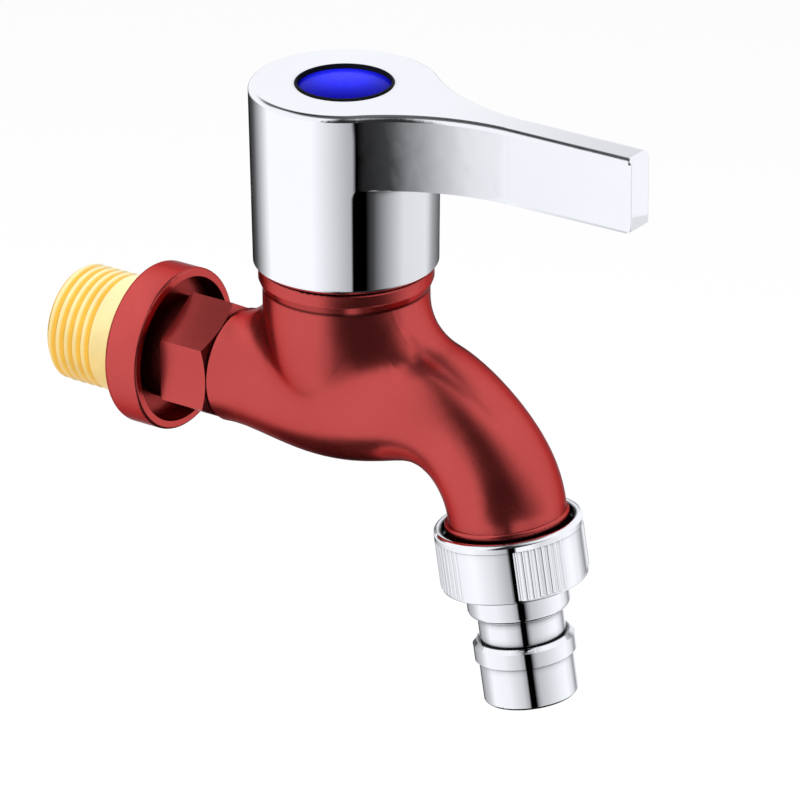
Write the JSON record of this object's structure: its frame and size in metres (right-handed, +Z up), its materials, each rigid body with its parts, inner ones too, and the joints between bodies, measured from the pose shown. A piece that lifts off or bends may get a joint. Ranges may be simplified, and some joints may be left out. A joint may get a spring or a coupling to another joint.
{
  "type": "washing machine valve",
  "caption": "Wall-mounted quarter-turn water valve with a lever handle, a bent red coated body and a quick-connect hose nozzle held by a knurled union nut.",
  "frame": {"origin": "centre of the wall flange's back face, on the inlet axis", "axes": "+X away from the wall along the inlet, +Z up along the valve's stem, +Y to the left of somebody who looks away from the wall"},
  "size_m": [0.1164, 0.0326, 0.1055],
  "materials": {
    "red_coat": "satin red coat over brass, inlet thread bare",
    "brass": "machined",
    "grey_fibre": "matt",
    "black_rubber": "matt",
    "white_ceramic": "lapped ceramic",
    "white_plastic": "matt",
    "spring_steel": "bright",
    "chrome": "polished",
    "black_plastic": "glossy",
    "blue_plastic": "glossy, domed"
  },
  "bodies": {
    "valve": {"body": "red_coat", "bonnet": "brass", "bonnet_gasket": "grey_fibre", "seat_seal": "black_rubber", "fixed_disc": "white_ceramic", "thrust_washer": "white_plastic"},
    "lever": {"handle": "chrome", "spline_bush": "white_plastic", "handle_screw": "spring_steel", "screw_washer": "spring_steel", "index_ring": "black_plastic", "index_button": "blue_plastic", "stem": "brass", "stem_o_ring_lower": "black_rubber", "stem_o_ring_upper": "black_rubber", "stem_clip": "spring_steel", "moving_disc": "white_ceramic"},
    "hose_end": {"nozzle": "chrome", "nozzle_washer": "black_rubber"},
    "union": {"outlet_nut": "chrome"}
  },
  "joints": [
    {"name": "handle_turn", "type": "hinge", "parent": "valve", "child": "lever", "pos_m": [0.04165, 0, 0.0249], "axis": [0, 0, 1], "range_deg": [0, 90]},
    {"name": "nozzle_drop", "type": "slide", "parent": "valve", "child": "hose_end", "axis": [0.1564, 0, -0.9877], "range_m": [0, 0.0034]},
    {"name": "nut_turn", "type": "hinge", "parent": "hose_end", "child": "union", "pos_m": [0.07465, 0, -0.0152], "axis": [0.1564, 0, -0.9877], "range_deg": [0, 675]}
  ],
  "couplings": [
    {"joint": "nut_turn", "follows": "nozzle_drop", "rad_per_m": 3463.7}
  ]
}
